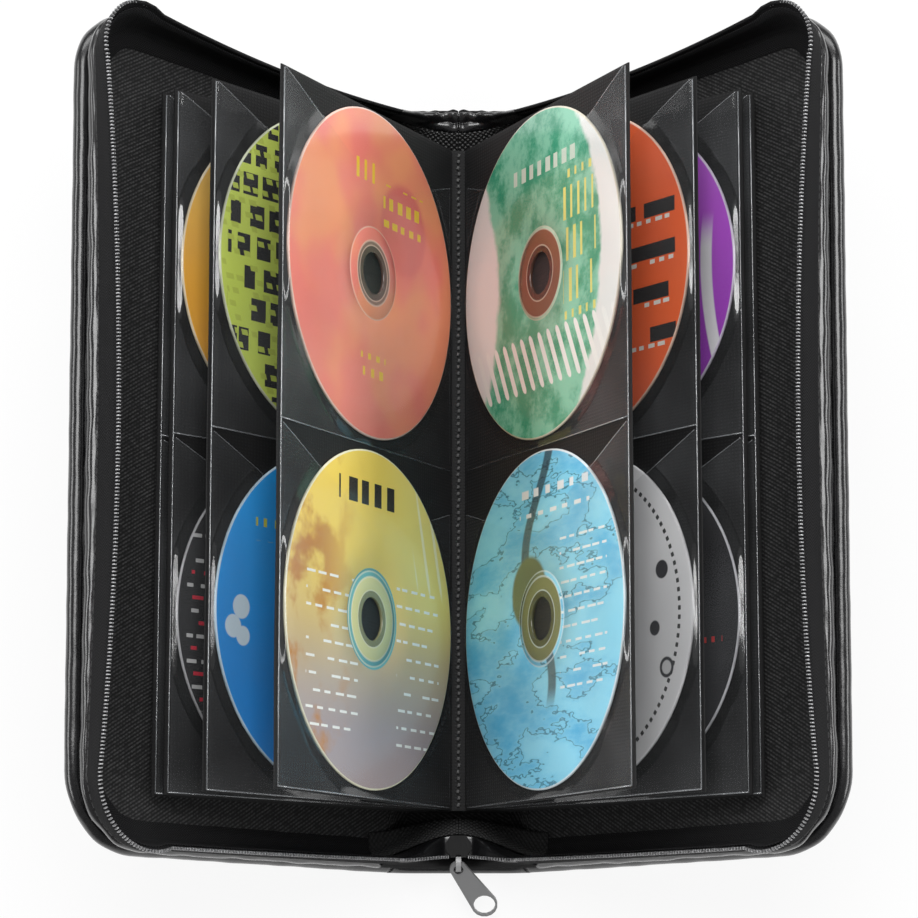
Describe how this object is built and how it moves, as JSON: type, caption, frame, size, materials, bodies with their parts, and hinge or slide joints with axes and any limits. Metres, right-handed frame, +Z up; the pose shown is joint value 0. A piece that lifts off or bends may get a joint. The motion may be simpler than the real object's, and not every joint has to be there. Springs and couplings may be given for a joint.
{
  "type": "cd storage case",
  "caption": "Zip-up padded wallet that opens like a book, with fanned pages of clear pockets for compact discs.",
  "frame": {"origin": "centre of the spine's underside, on the surface that the case lies on", "axes": "+X across the case towards the right cover, +Y along the spine towards the far end (the zip's slider is at the near end, -Y), +Z up out of the open case"},
  "size_m": [0.2694, 0.3144, 0.1331],
  "materials": {
    "leatherette": "black grained leatherette, satin",
    "twill_lining": "black twill weave, matt",
    "webbing": "black woven tape, matt",
    "zip_teeth": "dark moulded teeth, satin",
    "page_cloth": "black non-woven cloth, matt",
    "clear_film": "clear vinyl, glossy",
    "thread": "pale sewing thread, matt",
    "gunmetal": "dark grey plated metal, satin",
    "disc_left_1_upper": "printed polycarbonate, glossy",
    "disc_left_1_lower": "printed polycarbonate, glossy",
    "disc_left_2_upper": "printed polycarbonate, glossy",
    "disc_left_2_lower": "printed polycarbonate, glossy",
    "disc_left_3_upper": "printed polycarbonate, glossy",
    "disc_left_3_lower": "printed polycarbonate, glossy",
    "disc_right_1_upper": "printed polycarbonate, glossy",
    "disc_right_1_lower": "printed polycarbonate, glossy",
    "disc_right_2_upper": "printed polycarbonate, glossy",
    "disc_right_2_lower": "printed polycarbonate, glossy",
    "disc_right_3_upper": "printed polycarbonate, glossy",
    "disc_right_3_lower": "printed polycarbonate, glossy"
  },
  "bodies": {
    "spine": {"spine_panel": "leatherette", "spine_lining": "twill_lining", "page_binding": "webbing", "binding_stitches": "thread", "far_end_gusset": "webbing", "near_end_gusset": "webbing", "zipper_slider": "gunmetal"},
    "left_cover": {"left_cover_panel": "leatherette", "left_cover_lining": "twill_lining", "left_cover_piping": "leatherette", "left_side_wall": "leatherette", "left_zipper_tape": "webbing", "left_zipper_teeth": "zip_teeth"},
    "left_leaf_1": {"left_leaf_1": "page_cloth", "left_leaf_1_upper_pocket": "clear_film", "left_leaf_1_upper_disc": "disc_left_1_upper", "left_leaf_1_lower_pocket": "clear_film", "left_leaf_1_lower_disc": "disc_left_1_lower"},
    "left_leaf_2": {"left_leaf_2": "page_cloth", "left_leaf_2_upper_pocket": "clear_film", "left_leaf_2_upper_disc": "disc_left_2_upper", "left_leaf_2_lower_pocket": "clear_film", "left_leaf_2_lower_disc": "disc_left_2_lower"},
    "left_leaf_3": {"left_leaf_3": "page_cloth", "left_leaf_3_upper_pocket": "clear_film", "left_leaf_3_upper_disc": "disc_left_3_upper", "left_leaf_3_lower_pocket": "clear_film", "left_leaf_3_lower_disc": "disc_left_3_lower"},
    "left_leaf_4": {"left_leaf_4": "page_cloth", "left_leaf_4_upper_pocket": "clear_film", "left_leaf_4_lower_pocket": "clear_film"},
    "right_cover": {"right_cover_panel": "leatherette", "right_cover_lining": "twill_lining", "right_cover_piping": "leatherette", "right_side_wall": "leatherette", "right_zipper_tape": "webbing", "right_zipper_teeth": "zip_teeth"},
    "right_leaf_1": {"right_leaf_1": "page_cloth", "right_leaf_1_upper_pocket": "clear_film", "right_leaf_1_upper_disc": "disc_right_1_upper", "right_leaf_1_lower_pocket": "clear_film", "right_leaf_1_lower_disc": "disc_right_1_lower"},
    "right_leaf_2": {"right_leaf_2": "page_cloth", "right_leaf_2_upper_pocket": "clear_film", "right_leaf_2_upper_disc": "disc_right_2_upper", "right_leaf_2_lower_pocket": "clear_film", "right_leaf_2_lower_disc": "disc_right_2_lower"},
    "right_leaf_3": {"right_leaf_3": "page_cloth", "right_leaf_3_upper_pocket": "clear_film", "right_leaf_3_upper_disc": "disc_right_3_upper", "right_leaf_3_lower_pocket": "clear_film", "right_leaf_3_lower_disc": "disc_right_3_lower"},
    "right_leaf_4": {"right_leaf_4": "page_cloth", "right_leaf_4_upper_pocket": "clear_film", "right_leaf_4_lower_pocket": "clear_film"},
    "zipper_pull": {"zipper_pull": "gunmetal"}
  },
  "joints": [
    {"name": "left_cover_hinge", "type": "hinge", "parent": "spine", "child": "left_cover", "pos_m": [-0.0225, 0, 0.0025], "axis": [0, 1, 0], "range_deg": [-45, 45]},
    {"name": "left_leaf_1_hinge", "type": "hinge", "parent": "spine", "child": "left_leaf_1", "pos_m": [-0.003, 0, 0.0198], "axis": [0, 1, 0], "range_deg": [-27.55, 27.55]},
    {"name": "left_leaf_2_hinge", "type": "hinge", "parent": "spine", "child": "left_leaf_2", "pos_m": [-0.007, 0, 0.016], "axis": [0, 1, 0], "range_deg": [-38.55, 38.55]},
    {"name": "left_leaf_3_hinge", "type": "hinge", "parent": "spine", "child": "left_leaf_3", "pos_m": [-0.011, 0, 0.0122], "axis": [0, 1, 0], "range_deg": [-44.45, 44.45]},
    {"name": "left_leaf_4_hinge", "type": "hinge", "parent": "spine", "child": "left_leaf_4", "pos_m": [-0.015, 0, 0.0084], "axis": [0, 1, 0], "range_deg": [-44.35, 44.35]},
    {"name": "right_cover_hinge", "type": "hinge", "parent": "spine", "child": "right_cover", "pos_m": [0.0225, 0, 0.0025], "axis": [0, -1, 0], "range_deg": [-45, 45]},
    {"name": "right_leaf_1_hinge", "type": "hinge", "parent": "spine", "child": "right_leaf_1", "pos_m": [0.003, 0, 0.0198], "axis": [0, -1, 0], "range_deg": [-26.25, 26.25]},
    {"name": "right_leaf_2_hinge", "type": "hinge", "parent": "spine", "child": "right_leaf_2", "pos_m": [0.007, 0, 0.016], "axis": [0, -1, 0], "range_deg": [-36.75, 36.75]},
    {"name": "right_leaf_3_hinge", "type": "hinge", "parent": "spine", "child": "right_leaf_3", "pos_m": [0.011, 0, 0.0122], "axis": [0, -1, 0], "range_deg": [-44.35, 44.35]},
    {"name": "right_leaf_4_hinge", "type": "hinge", "parent": "spine", "child": "right_leaf_4", "pos_m": [0.015, 0, 0.0084], "axis": [0, -1, 0], "range_deg": [-44.25, 44.25]},
    {"name": "pull_hinge", "type": "hinge", "parent": "spine", "child": "zipper_pull", "pos_m": [0, -0.1419, 0.0168], "axis": [-1, 0, 0], "range_deg": [-10, 80]}
  ],
  "couplings": [
    {"joint": "left_leaf_1_hinge", "follows": "left_cover_hinge", "ratio": 0.61111},
    {"joint": "left_leaf_2_hinge", "follows": "left_cover_hinge", "ratio": 0.85556},
    {"joint": "left_leaf_3_hinge", "follows": "left_cover_hinge", "ratio": 0.98667},
    {"joint": "left_leaf_4_hinge", "follows": "left_cover_hinge", "ratio": 0.98444},
    {"joint": "right_leaf_1_hinge", "follows": "right_cover_hinge", "ratio": 0.58222},
    {"joint": "right_leaf_2_hinge", "follows": "right_cover_hinge", "ratio": 0.81556},
    {"joint": "right_leaf_3_hinge", "follows": "right_cover_hinge", "ratio": 0.98444},
    {"joint": "right_leaf_4_hinge", "follows": "right_cover_hinge", "ratio": 0.98222}
  ]
}
